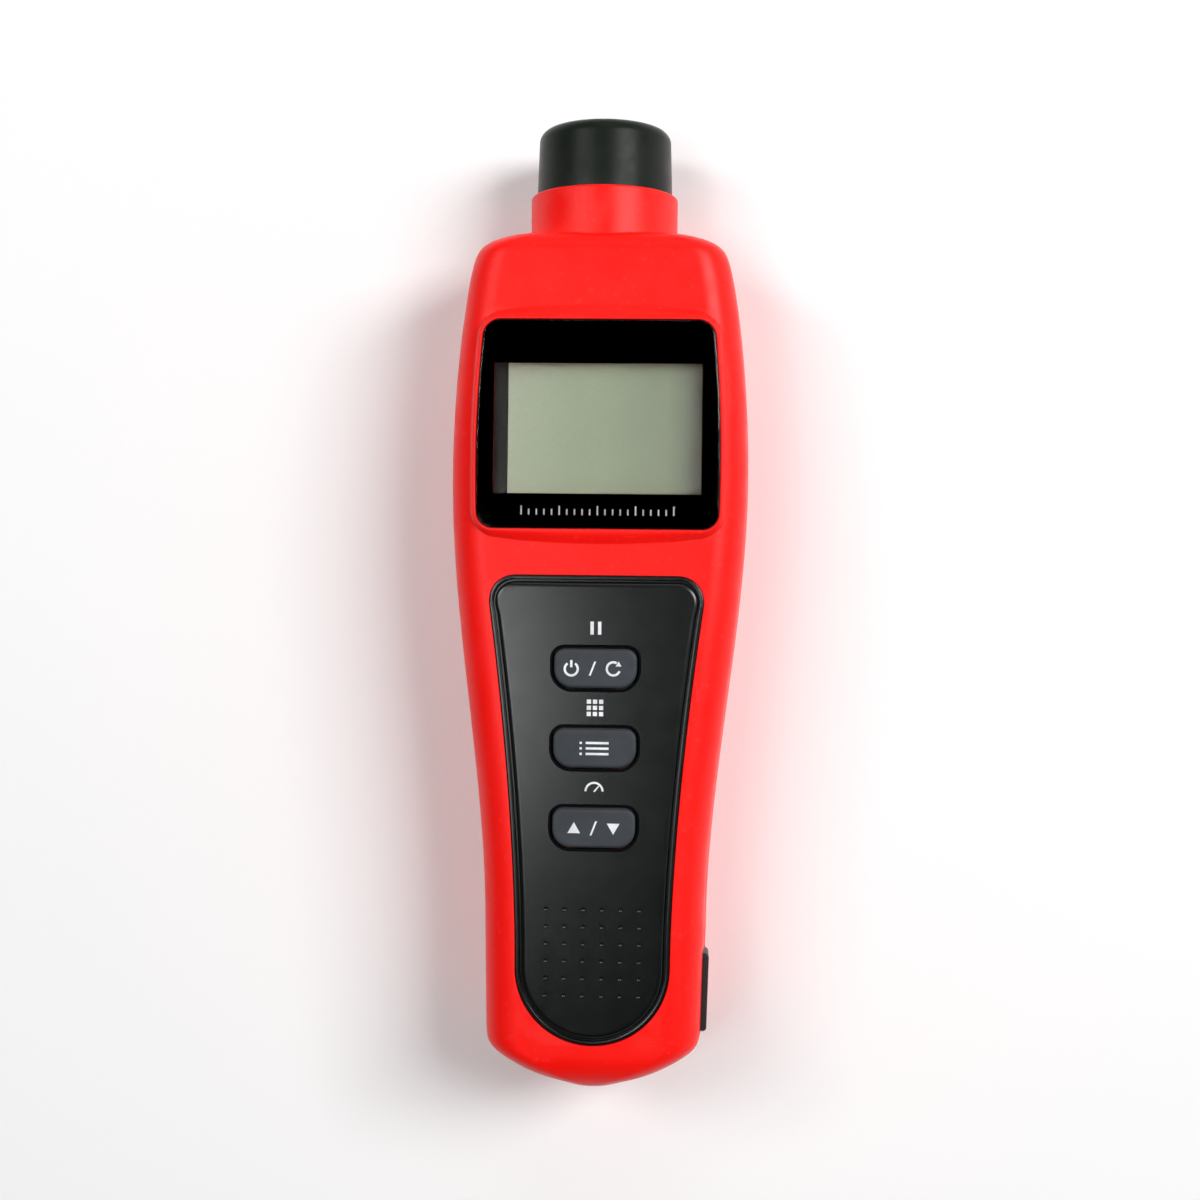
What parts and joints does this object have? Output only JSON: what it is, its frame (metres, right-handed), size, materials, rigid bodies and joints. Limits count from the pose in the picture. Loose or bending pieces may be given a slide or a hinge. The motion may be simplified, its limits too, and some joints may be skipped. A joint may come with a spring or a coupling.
{
  "type": "laser tachometer",
  "caption": "Hand-held optical tachometer: tapered two-shell case, display window, keypad panel with push keys, nose hood with laser and receiver, sliding battery door.",
  "frame": {"origin": "centre of the footprint of the whole part as it lies on its back, at the height of the back face", "axes": "+Y along the case and out of the nose, +Z out of the front face with the display, +X to the right as the display is read"},
  "size_m": [0.056, 0.1802, 0.034],
  "materials": {
    "case_red": "fine satin moulded ABS",
    "hood_black": "semi-gloss black",
    "panel_dark": "satin dark grey",
    "key_rubber": "matte silicone",
    "cover_rubber": "matte",
    "window_clear": "clear acrylic",
    "mask_black": "gloss black",
    "lcd_glass": "grey-green display glass, switched off",
    "frame_dark": "satin",
    "strip_rubber": "layered elastomer",
    "lens_red": "red filter",
    "lens_clear": "polished",
    "brass": "turned",
    "board_green": "solder mask",
    "chip_black": "epoxy",
    "contact_metal": "nickel plated",
    "screw_steel": "zinc plated",
    "cell_jacket": "printed film over steel"
  },
  "bodies": {
    "case": {"front_shell": "case_red", "rear_shell": "case_red", "nose_hood": "hood_black", "nose_window": "lens_red", "optics_holder": "hood_black", "receiver_lens": "lens_clear", "laser_barrel": "brass", "laser_lens": "lens_clear", "photodiode": "chip_black", "sensor_board": "board_green", "display_window": "window_clear", "display_mask": "mask_black", "lcd_panel": "lcd_glass", "lcd_frame": "frame_dark", "connector_strips": "strip_rubber", "main_board": "board_green", "processor_chip": "chip_black", "usb_chip": "chip_black", "crystal": "contact_metal", "capacitors": "contact_metal", "keypad_panel": "panel_dark", "keypad_mat": "key_rubber", "usb_socket": "contact_metal", "contact_bridge": "contact_metal", "contact_positive": "contact_metal", "contact_negative": "contact_metal", "case_screws": "screw_steel", "board_screws": "screw_steel", "battery_1": "cell_jacket", "battery_2": "cell_jacket", "battery_3": "cell_jacket", "battery_4": "cell_jacket"},
    "power_key": {"key_power": "key_rubber", "contact_pill_1": "chip_black"},
    "menu_key": {"key_menu": "key_rubber", "contact_pill_2": "chip_black"},
    "mode_key": {"key_mode": "key_rubber", "contact_pill_3": "chip_black"},
    "socket_cover": {"usb_cover": "cover_rubber"},
    "door": {"battery_door": "case_red"}
  },
  "joints": [
    {"name": "power_press", "type": "slide", "parent": "case", "child": "power_key", "axis": [0, 0, -1], "range_m": [0, 0.001], "stiffness_N_per_m": 500},
    {"name": "menu_press", "type": "slide", "parent": "case", "child": "menu_key", "axis": [0, 0, -1], "range_m": [0, 0.001], "stiffness_N_per_m": 500},
    {"name": "mode_press", "type": "slide", "parent": "case", "child": "mode_key", "axis": [0, 0, -1], "range_m": [0, 0.001], "stiffness_N_per_m": 500},
    {"name": "cover_open", "type": "hinge", "parent": "case", "child": "socket_cover", "pos_m": [0.02023, -0.07905, 0.02205], "axis": [0, 0, -1], "range_deg": [0, 100]},
    {"name": "door_slide", "type": "slide", "parent": "case", "child": "door", "axis": [0, -1, 0], "range_m": [0, 0.095]}
  ]
}
